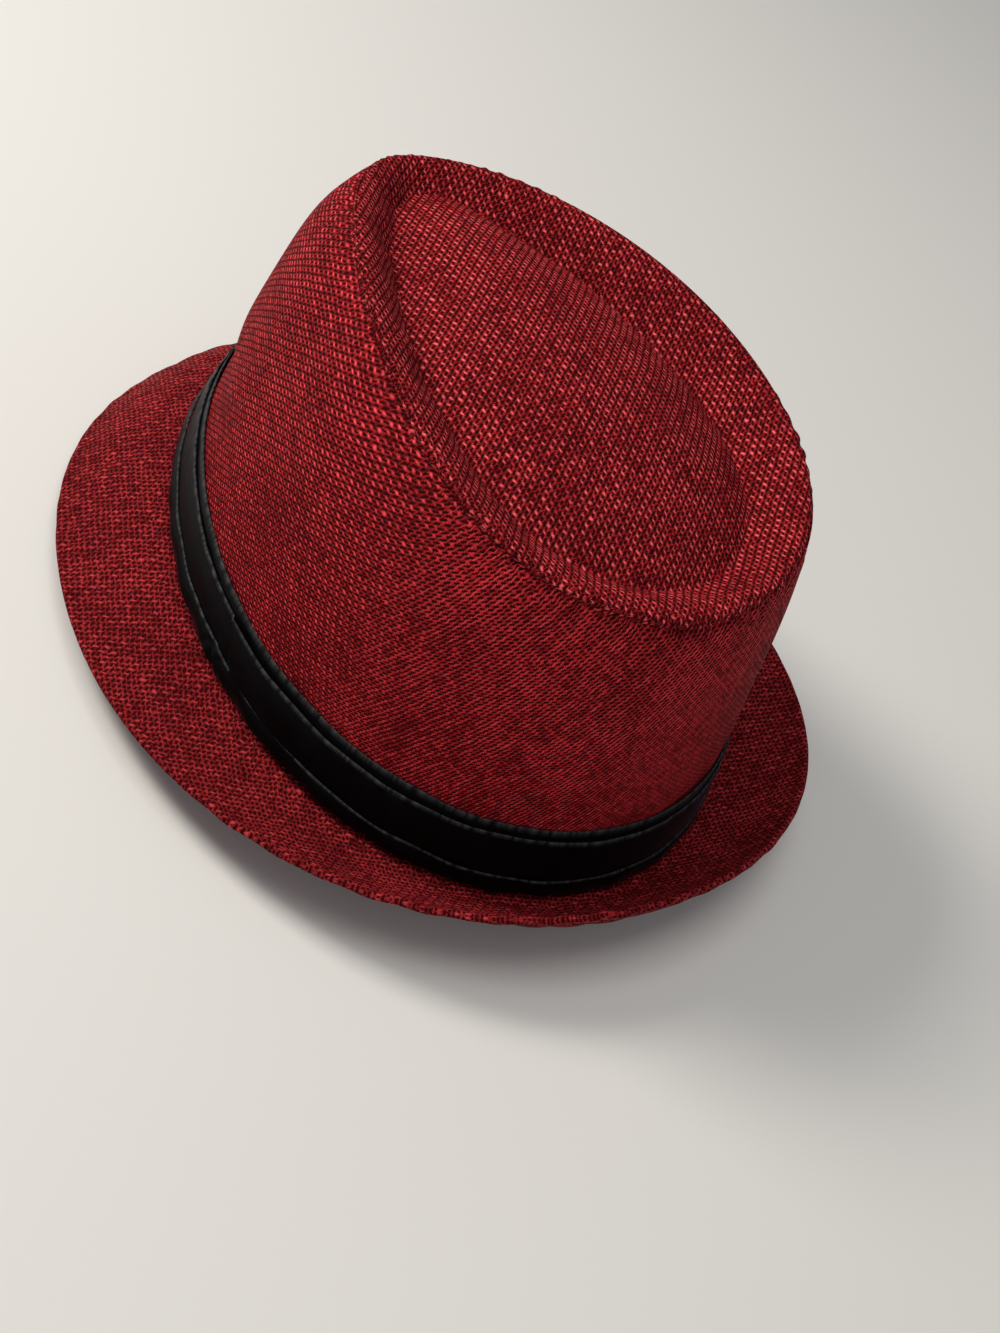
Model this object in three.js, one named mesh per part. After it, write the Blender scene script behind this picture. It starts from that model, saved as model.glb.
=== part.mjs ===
import * as THREE from 'three';
import { ParametricGeometry } from 'three/addons/geometries/ParametricGeometry.js';

// A short-brimmed woven trilby with a pleated ribbon. Millimetres, +Z up, front towards -Y, wearer's left +X.
// Every piece is worked out level, with z = 0 where the brim breaks away from the crown.
// The finished hat is then tipped back on to the brim, the way it rests on a table.
// Angles run round the hat from the front (0) over the wearer's left (90) to the back (180).
// A list of terms is a cosine series of that angle: the mean, then what the front, the two ends
// and the three-fold pinch add.

// Head opening, outside the crown wall at the brim break.
const OPENING_HALF_LENGTH = 100;
const OPENING_HALF_WIDTH = 83.6;
const OPENING_NARROWS_FORWARD = 0.07;

// Ridge of the crown, where the side panel meets the tip panel.
const RIDGE_REACH = [85.3, 4.1];
const RIDGE_HALF_WIDTH = 63.2;
const RIDGE_NARROWS_FORWARD = 0.22;
const RIDGE_SHIFT_FORWARD = 10.4;
const RIDGE_HEIGHT = [92.1, -1.9, -4.8, -1.5];

// Side panel: how far it swells half way up, and in the shoulder just under the ridge.
const SIDE_SWELL = 2.2;
const SHOULDER_SWELL = [2.8, 1.9];
const SHOULDER_PEAK = 0.8 ** 4 * 0.2;
const STRAW_THICKNESS = 1.5;

// Tip panel: a bead along the seam, a wall down to a teardrop valley, and a domed mound inside it.
const BEAD_RISE = 2.2;
const BEAD_PEAK = 4 / 27;
const TIP_WALL_EASING = 0.75;
const VALLEY_REACH = 73;
const VALLEY_HALF_WIDTH = 44.5;
const VALLEY_NARROWS_FORWARD = 0.32;
const VALLEY_SHIFT_FORWARD = 14.8;
const VALLEY_HEIGHT = [86, -2.2, -1.7];
const MOUND_HEIGHT = 99;
const MOUND_SHIFT_FORWARD = 5;
const MOUND_ROUNDING = 2.25;

// Brim: one slant width all round, snapped down in front and turned up at the back.
const BRIM_WIDTH = 32.9;
const BRIM_LIFT_DEGREES = [-0.8, -49.6, 4.2, -2.8];
const BRIM_ROOT_SHARE = 0.35;
const BRIM_THICKNESS = 1.6;
const HEM_WIDTH = 3;
const HEM_THICKNESS = 2.1;
const COLLAR_HEIGHT = 9;
const COLLAR_THICKNESS = 1.2;

// Ribbon: a backing strip round the foot of the crown, with two pleats laid on it.
const RIBBON_THICKNESS = 1;
const BACKING_TOP = [22.4, -2.1, 0.8];
const BACKING_FOOT = 1.7;
const LOWER_PLEAT_FOOT = 2.9;
const LOWER_PLEAT_TOP = 7.4;
const MAIN_PLEAT_FOOT = 7.7;
const TOP_STRIP = 3.3;
const LAP_START_DEGREES = 95;
const LAP_DEGREES = 10;

// Clearance between neighbouring pieces, the lean at rest, and how finely the walls are faceted.
const GAP = 0.3;
const REST_LEAN_DEGREES = 6.15;
const SEGMENTS = 72;

const STRAW_RED = 0x8c1420;
const RIBBON_BLACK = 0x0b0c0f;

const TURN = 2 * Math.PI;
const STEP = TURN / SEGMENTS;

function cosineSeries(terms, angle) {
  return terms.reduce((sum, term, order) => sum + term * Math.cos(order * angle), 0);
}

// An oval that is narrower in front: half width times sine, reach times cosine, slid forward.
function oval(angle, halfWidth, reach, narrowing, shiftForward) {
  const x = halfWidth * Math.sin(angle) * (1 - narrowing * Math.cos(angle));
  const y = -shiftForward - reach * Math.cos(angle);
  return new THREE.Vector3(x, y, 0);
}

function openingPoint(angle) {
  return oval(angle, OPENING_HALF_WIDTH, OPENING_HALF_LENGTH, OPENING_NARROWS_FORWARD, 0);
}

// The level direction that points straight out from the head opening.
function outward(angle) {
  const along = openingPoint(angle + 0.001).sub(openingPoint(angle - 0.001));
  return new THREE.Vector3(along.y, -along.x, 0).normalize();
}

function ridgePoint(angle) {
  const reach = cosineSeries(RIDGE_REACH, angle);
  const point = oval(angle, RIDGE_HALF_WIDTH, reach, RIDGE_NARROWS_FORWARD, RIDGE_SHIFT_FORWARD);
  return point.setZ(cosineSeries(RIDGE_HEIGHT, angle));
}

// The outside of the side panel: a straight rule from opening to ridge, plus the two swells.
// share is 0 at the brim break and 1 at the ridge.
function sidePoint(angle, share) {
  const swell = SIDE_SWELL * 4 * share * (1 - share);
  const shoulder = cosineSeries(SHOULDER_SWELL, angle) * share ** 4 * (1 - share) / SHOULDER_PEAK;
  const point = openingPoint(angle).lerp(ridgePoint(angle), share);
  return point.addScaledVector(outward(angle), swell + shoulder);
}

// Pushes a point of a surface out along the surface's own normal. A negative distance goes inside.
function offset(surface, angle, share, distance) {
  const small = 0.001;
  const round = surface(angle + small, share).sub(surface(angle - small, share));
  const across = surface(angle, share + small).sub(surface(angle, share - small));
  const normal = round.cross(across).normalize();
  return surface(angle, share).addScaledVector(normal, distance);
}

// A point that stands off the side panel at a height above the brim break.
function wallPoint(angle, height, distance) {
  return offset(sidePoint, angle, height / cosineSeries(RIDGE_HEIGHT, angle), distance);
}

// The outside of the tip panel. share runs from 0 at the seam over 1 at the valley to 2 at the mound's middle.
function tipPoint(angle, share) {
  const seam = ridgePoint(angle);
  seam.z += GAP + STRAW_THICKNESS;
  const valley = oval(
    angle,
    VALLEY_HALF_WIDTH,
    VALLEY_REACH,
    VALLEY_NARROWS_FORWARD,
    VALLEY_SHIFT_FORWARD
  );
  valley.z = cosineSeries(VALLEY_HEIGHT, angle);
  if (share <= 1) {
    const bead = BEAD_RISE * share * (1 - share) ** 2 / BEAD_PEAK;
    const drop = THREE.MathUtils.lerp(share, THREE.MathUtils.smoothstep(share, 0, 1), TIP_WALL_EASING);
    const height = THREE.MathUtils.lerp(seam.z, valley.z, drop) + bead;
    return seam.lerp(valley, share).setZ(height);
  }
  const inward = share - 1;
  const middle = new THREE.Vector3(0, -MOUND_SHIFT_FORWARD, MOUND_HEIGHT);
  const climb = 1 - (1 - inward) ** MOUND_ROUNDING;
  const height = THREE.MathUtils.lerp(valley.z, middle.z, climb);
  return valley.lerp(middle, inward).setZ(height);
}

// Half way through the brim's thickness: a quadratic curve that leaves the crown more level than it ends.
// share is 0 at the brim break and 1 at the edge.
function brimPoint(angle, share) {
  const lift = THREE.MathUtils.degToRad(cosineSeries(BRIM_LIFT_DEGREES, angle));
  const out = outward(angle);
  const up = new THREE.Vector3(0, 0, 1);
  const along = (width, slope) => openingPoint(angle)
    .addScaledVector(out, width * Math.cos(slope))
    .addScaledVector(up, width * Math.sin(slope));
  const start = openingPoint(angle);
  const knee = along(BRIM_WIDTH / 2, lift * BRIM_ROOT_SHARE);
  const edge = along(BRIM_WIDTH, lift);
  const curve = new THREE.QuadraticBezierCurve3(start, knee, edge);
  return curve.getPoint(share);
}

// A closed body made of cross-sections, one for each angle, that joins up with itself.
function ringBody(sectionAt) {
  const sections = Array.from({ length: SEGMENTS }, (_, index) => sectionAt(index * STEP));
  const corners = sections[0].length;
  const place = (u, v, target) => {
    const section = sections[Math.round(u * SEGMENTS) % SEGMENTS];
    target.copy(section[Math.round(v * corners) % corners]);
  };
  return new ParametricGeometry(place, SEGMENTS, corners);
}

// A closed body made of profiles that all start and end at the same two poles.
function domeBody(profileAt) {
  const profiles = Array.from({ length: SEGMENTS }, (_, index) => profileAt(index * STEP));
  const last = profiles[0].length - 1;
  const place = (u, v, target) => {
    const profile = profiles[Math.round(u * SEGMENTS) % SEGMENTS];
    target.copy(profile[Math.round(v * last)]);
  };
  return new ParametricGeometry(place, SEGMENTS, last);
}

// A closed body along part of a turn, or more than one turn, with a flat cap at each end.
function stripBody(sectionAt, startAngle, steps) {
  const sections = Array.from({ length: steps + 1 }, (_, index) => sectionAt(startAngle + index * STEP));
  const middle = (section) => {
    const sum = section.reduce((total, corner) => total.add(corner), new THREE.Vector3());
    return section.map(() => sum.clone().divideScalar(section.length));
  };
  const capped = [middle(sections[0]), ...sections, middle(sections[steps])];
  const corners = sections[0].length;
  const place = (u, v, target) => {
    const section = capped[Math.round(u * (steps + 2))];
    target.copy(section[Math.round(v * corners) % corners]);
  };
  return new ParametricGeometry(place, steps + 2, corners);
}

// The side panel stands on the brim's upper face. The shares crowd together towards the ridge, where it bends most.
function makeSidePanel() {
  const foot = (BRIM_THICKNESS / 2 + GAP) / RIDGE_HEIGHT[0];
  const outerShares = [foot, 0.12, 0.26, 0.42, 0.58, 0.72, 0.83, 0.91, 0.96, 1];
  const innerShares = [1, 0.94, 0.83, 0.66, 0.42, 0.2, foot];
  return ringBody((angle) => [
    ...outerShares.map((share) => sidePoint(angle, share)),
    ...innerShares.map((share) => offset(sidePoint, angle, share, -STRAW_THICKNESS)),
  ]);
}

// The tip panel's shares go in from the seam to the mound's middle, closest together over the bead.
function makeTipPanel() {
  const underShares = [1.65, 1.35, 1.1, 0.95, 0.68, 0.42, 0.2];
  const topShares = [0, 0.14, 0.28, 0.42, 0.58, 0.75, 0.9, 1, 1.12, 1.3, 1.5, 1.74, 2];
  const under = new THREE.Vector3(0, -MOUND_SHIFT_FORWARD, MOUND_HEIGHT - STRAW_THICKNESS);
  return domeBody((angle) => [
    under.clone(),
    ...underShares.map((share) => offset(tipPoint, angle, share, -STRAW_THICKNESS)),
    ridgePoint(angle).add(new THREE.Vector3(0, 0, GAP)),
    ...topShares.map((share) => tipPoint(angle, share)),
  ]);
}

// The brim's section ends with a collar tucked inside the side panel, where the two are sewn together.
// The normal of brimPoint points down, so a positive offset lies under the brim.
function makeBrim() {
  const half = BRIM_THICKNESS / 2;
  const hemHalf = HEM_THICKNESS / 2;
  const hemStart = 1 - HEM_WIDTH / BRIM_WIDTH;
  const hemMiddle = 1 - HEM_WIDTH / BRIM_WIDTH / 3;
  const underShares = [0.02, 0.25, 0.5, 0.75, hemStart];
  const topShares = [hemStart, 0.84, 0.7, 0.52, 0.34, 0.16, 0];
  const collarOuter = -STRAW_THICKNESS - GAP;
  const collarInner = collarOuter - COLLAR_THICKNESS;
  const collarFoot = new THREE.Vector3(0, 0, -half);
  return ringBody((angle) => [
    wallPoint(angle, 0, collarInner).add(collarFoot),
    ...underShares.map((share) => offset(brimPoint, angle, share, half)),
    offset(brimPoint, angle, hemMiddle, hemHalf),
    offset(brimPoint, angle, 1, hemHalf / 2),
    offset(brimPoint, angle, 1, -hemHalf / 2),
    offset(brimPoint, angle, hemMiddle, -hemHalf),
    ...topShares.map((share) => offset(brimPoint, angle, share, -half)),
    wallPoint(angle, half, collarOuter),
    wallPoint(angle, COLLAR_HEIGHT, collarOuter),
    wallPoint(angle, COLLAR_HEIGHT, collarInner),
  ]);
}

// A strip of ribbon between two heights, lying a given distance off the side panel.
function ribbonSection(angle, foot, top, distance) {
  return [
    wallPoint(angle, foot, distance + RIBBON_THICKNESS),
    wallPoint(angle, top, distance + RIBBON_THICKNESS),
    wallPoint(angle, top, distance),
    wallPoint(angle, foot, distance),
  ];
}

function makeBacking() {
  return ringBody((angle) => ribbonSection(angle, BACKING_FOOT, cosineSeries(BACKING_TOP, angle), GAP));
}

function makeLowerPleat() {
  const distance = RIBBON_THICKNESS + 2 * GAP;
  return ringBody((angle) => ribbonSection(angle, LOWER_PLEAT_FOOT, LOWER_PLEAT_TOP, distance));
}

// The main pleat is one strip whose start lies over its own end on the wearer's left.
function makeMainPleat() {
  const distance = RIBBON_THICKNESS + 2 * GAP;
  const start = THREE.MathUtils.degToRad(LAP_START_DEGREES);
  const lap = THREE.MathUtils.degToRad(LAP_DEGREES);
  const sectionAt = (angle) => {
    const raised = angle < start + lap + STEP / 2 ? RIBBON_THICKNESS + GAP : 0;
    const top = cosineSeries(BACKING_TOP, angle) - TOP_STRIP;
    return ribbonSection(angle, MAIN_PLEAT_FOOT, top, distance + raised);
  };
  return stripBody(sectionAt, start, SEGMENTS + Math.round(lap / STEP));
}

const straw = new THREE.MeshStandardMaterial({ color: STRAW_RED, roughness: 0.75, metalness: 0 });
const ribbon = new THREE.MeshStandardMaterial({ color: RIBBON_BLACK, roughness: 0.4, metalness: 0 });

const pieces = [
  { name: 'crown_side', geometry: makeSidePanel(), material: straw },
  { name: 'crown_tip', geometry: makeTipPanel(), material: straw },
  { name: 'brim', geometry: makeBrim(), material: straw },
  { name: 'band_backing', geometry: makeBacking(), material: ribbon },
  { name: 'band_lower_pleat', geometry: makeLowerPleat(), material: ribbon },
  { name: 'band_main_pleat', geometry: makeMainPleat(), material: ribbon },
];

const hat = new THREE.Group();
for (const piece of pieces) {
  const mesh = new THREE.Mesh(piece.geometry, piece.material.clone());
  mesh.name = piece.name;
  hat.add(mesh);
}

// Tip the hat back, then stand its lowest point on z = 0 with its outline centred on the origin.
hat.rotation.x = -THREE.MathUtils.degToRad(REST_LEAN_DEGREES);
hat.updateMatrixWorld(true);
const box = new THREE.Box3().setFromObject(hat, true);
hat.position.set(-(box.min.x + box.max.x) / 2, -(box.min.y + box.max.y) / 2, -box.min.z);

export default hat;
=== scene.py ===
import math

import bpy
import numpy as np
from mathutils import Matrix, Vector


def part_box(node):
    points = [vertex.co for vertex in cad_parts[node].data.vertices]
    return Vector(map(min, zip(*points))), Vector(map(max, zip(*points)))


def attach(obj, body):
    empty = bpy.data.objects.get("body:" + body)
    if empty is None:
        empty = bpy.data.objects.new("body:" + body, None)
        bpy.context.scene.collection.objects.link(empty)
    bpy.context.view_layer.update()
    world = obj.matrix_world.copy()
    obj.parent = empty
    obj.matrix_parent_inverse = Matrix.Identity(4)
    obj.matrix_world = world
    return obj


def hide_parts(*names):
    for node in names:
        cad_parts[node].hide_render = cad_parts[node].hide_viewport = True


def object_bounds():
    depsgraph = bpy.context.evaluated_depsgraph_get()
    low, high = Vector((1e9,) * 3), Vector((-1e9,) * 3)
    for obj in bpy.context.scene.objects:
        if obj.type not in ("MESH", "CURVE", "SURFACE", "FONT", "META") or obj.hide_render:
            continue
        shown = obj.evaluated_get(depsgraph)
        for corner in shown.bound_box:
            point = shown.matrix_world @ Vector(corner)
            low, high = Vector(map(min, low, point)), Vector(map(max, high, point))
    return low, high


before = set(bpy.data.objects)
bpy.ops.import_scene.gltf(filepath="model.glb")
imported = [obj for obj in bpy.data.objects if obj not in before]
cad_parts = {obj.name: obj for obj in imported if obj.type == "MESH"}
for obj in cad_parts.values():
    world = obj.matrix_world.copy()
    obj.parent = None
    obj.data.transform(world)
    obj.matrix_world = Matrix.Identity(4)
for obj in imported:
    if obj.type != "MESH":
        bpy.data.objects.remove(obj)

cad_low, cad_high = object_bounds()

# A short-brimmed hat of woven straw with a pleated satin ribbon.
# Shapes are worked out level, in millimetres, with z = 0 where the brim breaks away from the crown,
# and are then tipped back on to the brim. Angles run round the hat from the front (0) over the
# wearer's left (90 degrees) to the back. A list of terms is a cosine series of that angle.

MM = 0.001
TURN = 2 * math.pi

# The hat's own sizes, as in the solids that it is built round.
OPENING_HALF_LENGTH = 100
OPENING_HALF_WIDTH = 83.6
OPENING_NARROWS_FORWARD = 0.07
RIDGE_REACH = [85.3, 4.1]
RIDGE_HALF_WIDTH = 63.2
RIDGE_NARROWS_FORWARD = 0.22
RIDGE_SHIFT_FORWARD = 10.4
RIDGE_HEIGHT = [92.1, -1.9, -4.8, -1.5]
SIDE_SWELL = 2.2
SHOULDER_SWELL = [2.8, 1.9]
SHOULDER_PEAK = 0.8 ** 4 * 0.2
STRAW = 1.5
GAP = 0.3
BEAD_RISE = 2.2
BEAD_PEAK = 4 / 27
TIP_WALL_EASING = 0.75
VALLEY_REACH = 73
VALLEY_HALF_WIDTH = 44.5
VALLEY_NARROWS_FORWARD = 0.32
VALLEY_SHIFT_FORWARD = 14.8
VALLEY_HEIGHT = [86, -2.2, -1.7]
MOUND_HEIGHT = 99
MOUND_SHIFT_FORWARD = 5
MOUND_ROUNDING = 2.25
RIM_FLATNESS = 2.0
BRIM_WIDTH = 32.9
BRIM_LIFT_DEGREES = [-0.8, -49.6, 4.2, -2.8]
BRIM_ROOT_SHARE = 0.35
BRIM_THICKNESS = 1.6
HEM_WIDTH = 3
HEM_THICKNESS = 2.1
COLLAR_HEIGHT = 9
COLLAR_THICKNESS = 1.2
BACKING_TOP = [22.4, -2.1, 0.8]
BACKING_FOOT = 1.7
LOWER_PLEAT_FOOT = 2.9
LOWER_PLEAT_TOP = 7.7
MAIN_PLEAT_FOOT = 7.3
TOP_STRIP = 3.3
LAP_SLANT = 0.09
LAP_START_DEGREES = 95
REST_LEAN_DEGREES = 6.15

# The tuck where the tip hangs over the side panel at the back.
TUCK_DEGREES = 172
TUCK_HALF_SPAN_DEGREES = 17
TUCK_DEPTH = 2.1
TIP_HANG = 1.6

# The left front is fuller above the ribbon, and the tip has one crease on its far side.
FULLER = 2.4
FULLER_DEGREES = 28
FULLER_HALF_SPAN_DEGREES = 62
FULLER_MIDDLE_SHARE = 0.42
FULLER_SPREAD_SHARE = 0.26
ABOVE_RIBBON_SHARE = 0.31
ABOVE_RIBBON_EASING = 0.14
FAR_CREASE_DEPTH = 1.7
FAR_CREASE_DEGREES = 292
FAR_CREASE_HALF_SPAN_DEGREES = 62
FAR_CREASE_SHARE = 1.02
FAR_CREASE_SPREAD_SHARE = 0.07

# Where the side's strand sets swap painted highlight and shade: a band of angles, eased at start and end.
LIGHT_SWAP_STARTS_DEGREES = 104
LIGHT_SWAP_START_EASING_DEGREES = 26
LIGHT_SWAP_ENDS_DEGREES = 300
LIGHT_SWAP_END_EASING_DEGREES = 40


# ---------------------------------------------------------------- the hat's surfaces

def series(terms, angle):
    """The sum of each term times the cosine of its own multiple of the angle."""
    return sum(term * np.cos(order * angle) for order, term in enumerate(terms))


def unit(vectors):
    return vectors / np.linalg.norm(vectors, axis=-1, keepdims=True)


def ease(value):
    """0 below 0, 1 above 1, and 3t^2 - 2t^3 between."""
    t = np.clip(value, 0, 1)
    return t * t * (3 - 2 * t)


def oval(angle, half_width, reach, narrowing, shift_forward):
    """x is the half width times the sine, narrowed towards the front; y is the reach times -cosine, slid
    forward."""
    x = half_width * np.sin(angle) * (1 - narrowing * np.cos(angle))
    y = -shift_forward - reach * np.cos(angle)
    return np.stack([x, y, np.zeros_like(x)], axis=-1)


def opening(angle):
    return oval(angle, OPENING_HALF_WIDTH, OPENING_HALF_LENGTH, OPENING_NARROWS_FORWARD, 0)


def outward(angle):
    """The level direction straight out from the opening: its tangent turned by a quarter."""
    along = opening(angle + 0.001) - opening(angle - 0.001)
    return unit(np.stack([along[..., 1], -along[..., 0], np.zeros_like(angle)], axis=-1))


def ridge(angle):
    """An oval narrower in front, at the height that the ridge's series gives."""
    reach = series(RIDGE_REACH, angle)
    point = oval(angle, RIDGE_HALF_WIDTH, reach, RIDGE_NARROWS_FORWARD, RIDGE_SHIFT_FORWARD)
    point[..., 2] = series(RIDGE_HEIGHT, angle)
    return point


def side_surface(angle, share):
    """A straight rule from the opening (share 0) to the ridge (share 1), pushed out by a parabola and a
    shoulder."""
    swell = SIDE_SWELL * 4 * share * (1 - share)
    shoulder = series(SHOULDER_SWELL, angle) * share ** 4 * (1 - share) / SHOULDER_PEAK
    rule = opening(angle) * (1 - share)[..., None] + ridge(angle) * share[..., None]
    return rule + outward(angle) * (swell + shoulder)[..., None]


def tip_surface(angle, share):
    """From the seam (share 0) down a wall to the valley (1), then up a dome to its middle (2). On the
    wearer's right the wall starts with a bead, on the left with a flat rim."""
    seam = ridge(angle)
    seam[..., 2] += GAP + STRAW
    valley = oval(angle, VALLEY_HALF_WIDTH, VALLEY_REACH, VALLEY_NARROWS_FORWARD, VALLEY_SHIFT_FORWARD)
    valley[..., 2] = series(VALLEY_HEIGHT, angle)
    down = np.clip(share, 0, 1)
    rolled = 0.5 - 0.5 * np.sin(angle)
    bead = BEAD_RISE * rolled * down * (1 - down) ** 2 / BEAD_PEAK
    eased = down + (ease(down) - down) * TIP_WALL_EASING
    drop = rolled * eased + (1 - rolled) * down ** RIM_FLATNESS
    wall = seam * (1 - down)[..., None] + valley * down[..., None]
    wall[..., 2] = seam[..., 2] + (valley[..., 2] - seam[..., 2]) * drop + bead
    inward = np.clip(share - 1, 0, 1)
    middle = np.array([0, -MOUND_SHIFT_FORWARD, MOUND_HEIGHT])
    floor = valley * (1 - inward)[..., None] + middle * inward[..., None]
    climb = 1 - (1 - inward) ** MOUND_ROUNDING
    floor[..., 2] = valley[..., 2] + (MOUND_HEIGHT - valley[..., 2]) * climb
    return np.where((share <= 1)[..., None], wall, floor)


def brim_surface(angle, share):
    """A quadratic curve from the opening to the edge, half way through the brim, more level at its root
    than at its end."""
    lift = np.radians(series(BRIM_LIFT_DEGREES, angle))
    out = outward(angle)
    start = opening(angle)

    def along(width, slope):
        rise = np.stack([np.zeros_like(slope), np.zeros_like(slope), width * np.sin(slope)], axis=-1)
        return start + out * (width * np.cos(slope))[..., None] + rise

    knee = along(BRIM_WIDTH / 2, lift * BRIM_ROOT_SHARE)
    edge = along(BRIM_WIDTH, lift)
    first = ((1 - share) ** 2)[..., None]
    second = (2 * share * (1 - share))[..., None]
    return first * start + second * knee + (share ** 2)[..., None] * edge


def offset(surface, angle, share, distance):
    """The surface moved along its own normal, the cross product of its two slopes."""
    step = 0.001
    angle, share = np.broadcast_arrays(angle, share)
    around = surface(angle + step, share) - surface(angle - step, share)
    across = surface(angle, share + step) - surface(angle, share - step)
    normal = unit(np.cross(around, across))
    return surface(angle, share) + normal * np.broadcast_to(distance, angle.shape)[..., None]


def wall(angle, height, distance):
    """A point that stands off the side panel at a height above the brim break."""
    return offset(side_surface, angle, height / series(RIDGE_HEIGHT, angle), distance)


def ripples(angle, across, waves_round, length_across, count, seed):
    """Mean 0, size about 1: the sum of cosines, each with a whole number of waves round the hat and its own
    slant and phase."""
    draw = np.random.default_rng(seed)
    field = 0
    for _ in range(count):
        order = draw.integers(waves_round[0], waves_round[1] + 1)
        slant = draw.choice([-1, 1]) * TURN / draw.uniform(*length_across)
        field = field + np.cos(order * angle + slant * across + draw.uniform(0, TURN))
    return field / math.sqrt(count / 2)


def near(angle, centre_degrees, half_span_degrees):
    """1 at the centre angle, falling smoothly to 0 at the half span on each side."""
    away = np.abs((angle - math.radians(centre_degrees) + math.pi) % TURN - math.pi)
    return 1 - ease(away / math.radians(half_span_degrees))


# ---------------------------------------------------------------- putting points into meshes

REST_LEAN = math.radians(REST_LEAN_DEGREES)
TIP_BACK = np.array([
    [1, 0, 0],
    [0, math.cos(REST_LEAN), math.sin(REST_LEAN)],
    [0, -math.sin(REST_LEAN), math.cos(REST_LEAN)],
])


def place_of_hat():
    """How far the tipped hat is shifted: from the middle of the tip panel's own surface to the middle of
    its solid."""
    angle, share = np.meshgrid(np.linspace(0, TURN, 73), np.linspace(0, 2, 201), indexing="ij")
    points = (tip_surface(angle, share).reshape(-1, 3) * MM) @ TIP_BACK.T
    low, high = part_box("crown_tip")
    shift = np.array([0.0, 0.0, 0.0])
    shift[1] = (low[1] + high[1]) / 2 - (points[:, 1].min() + points[:, 1].max()) / 2
    shift[2] = high[2] - points[:, 2].max()
    return shift


HAT_PLACE = place_of_hat()


def shell_mesh(name, points, weave, closed_section, capped=(), extra=None):
    """points is (columns, rows, 3) in level millimetres, one column for each angle round the hat, and
    closes on itself. weave is (columns + 1, rows, 2), or one more row where the section closes, in
    millimetres of cloth. capped names the first or last row, or both, where all the columns meet in one
    point."""
    columns, rows = points.shape[:2]
    spans = rows if closed_section else rows - 1
    placed = (points.reshape(-1, 3) * MM) @ TIP_BACK.T + HAT_PLACE
    column = np.arange(columns)[:, None]
    row = np.arange(spans)[None, :]
    after = (column + 1) % columns
    above = (row + 1) % rows
    here = [column * rows + row, after * rows + row, after * rows + above, column * rows + above]
    faces = np.stack(np.broadcast_arrays(*here), axis=-1)
    wide = [(column, row), (column + 1, row), (column + 1, row + 1), (column, row + 1)]
    map_at = np.stack([weave[i, j] for i, j in (np.broadcast_arrays(*w) for w in wide)], axis=-2)
    flat_at = np.stack(
        [np.stack(np.broadcast_arrays(i / columns, j / spans), axis=-1) for i, j in wide], axis=-2
    )
    loops, maps, flats, sizes = [], [], [], []
    for j in range(spans):
        keep = [0, 1, 2, 3]
        if j == 0 and "first" in capped:
            keep = [0, 2, 3]
        if j == spans - 1 and "last" in capped:
            keep = [0, 1, 2]
        strip = faces[:, j][:, keep].copy()
        if j == 0 and "first" in capped:
            strip[:, 0] = 0
        if j == spans - 1 and "last" in capped:
            strip[:, 2] = rows - 1
        loops.append(strip.ravel())
        maps.append(map_at[:, j][:, keep].reshape(-1, 2))
        flats.append(flat_at[:, j][:, keep].reshape(-1, 2))
        sizes.append(np.full(columns, len(keep)))
    loops = np.concatenate(loops)
    used, loops = np.unique(loops, return_inverse=True)
    sizes = np.concatenate(sizes)
    starts = np.concatenate([[0], np.cumsum(sizes)[:-1]])
    mesh = bpy.data.meshes.new(name)
    mesh.vertices.add(len(used))
    mesh.vertices.foreach_set("co", placed[used].astype(np.float32).ravel())
    mesh.loops.add(len(loops))
    mesh.loops.foreach_set("vertex_index", loops.astype(np.int32))
    mesh.polygons.add(len(sizes))
    mesh.polygons.foreach_set("loop_start", starts.astype(np.int32))
    mesh.update(calc_edges=True)
    for map_name, values in (("Weave", maps), ("OFBake", flats)):
        layer = mesh.uv_layers.new(name=map_name)
        layer.uv.foreach_set("vector", np.concatenate(values).astype(np.float32).ravel())
    for field_name, values in (extra or {}).items():
        field = mesh.attributes.new(field_name, "FLOAT", "POINT")
        field.data.foreach_set("value", values.reshape(-1)[used].astype(np.float32))
    mesh.shade_smooth()
    mesh.validate()
    piece = bpy.data.objects.new(name, mesh)
    bpy.context.scene.collection.objects.link(piece)
    return piece


def columns_of(count, start=0.0):
    """Angles of the columns round the hat, and the same list with the first one's angle a turn later at its
    end."""
    angle = start + np.arange(count) * TURN / count
    return angle, np.append(angle, start + TURN)


def arc_length(angle):
    """Length along the opening from angle 0, in millimetres, by adding up short chords."""
    fine = np.linspace(-TURN, 2 * TURN, 7201)
    chords = np.linalg.norm(np.diff(opening(fine), axis=0), axis=-1)
    length = np.concatenate([[0], np.cumsum(chords)])
    return np.interp(angle, fine, length) - np.interp(0, fine, length)


def half_round(count):
    """Angles from 0 to pi, ends left out."""
    return np.linspace(0, math.pi, count + 2)[1:-1]


# ---------------------------------------------------------------- straw panels

SIDE_GRAIN_RADIUS = 350
SIDE_GRAIN_DEGREES = 50
SIDE_JOIN_DEGREES = 250
SIDE_LEVEL_PITCH = 1.3
SIDE_PITCH_AT_FOOT = 0.85
SIDE_PITCH_GAIN = 0.75


def stray(angle, across, size, seed):
    """Two fields by which threads stray sideways, a few millimetres long."""
    first = size * ripples(angle, across, (40, 110), (5, 14), 18, seed)
    second = size * ripples(angle, across, (40, 110), (5, 14), 18, seed + 1)
    return np.stack([first, second], axis=-1)


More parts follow.
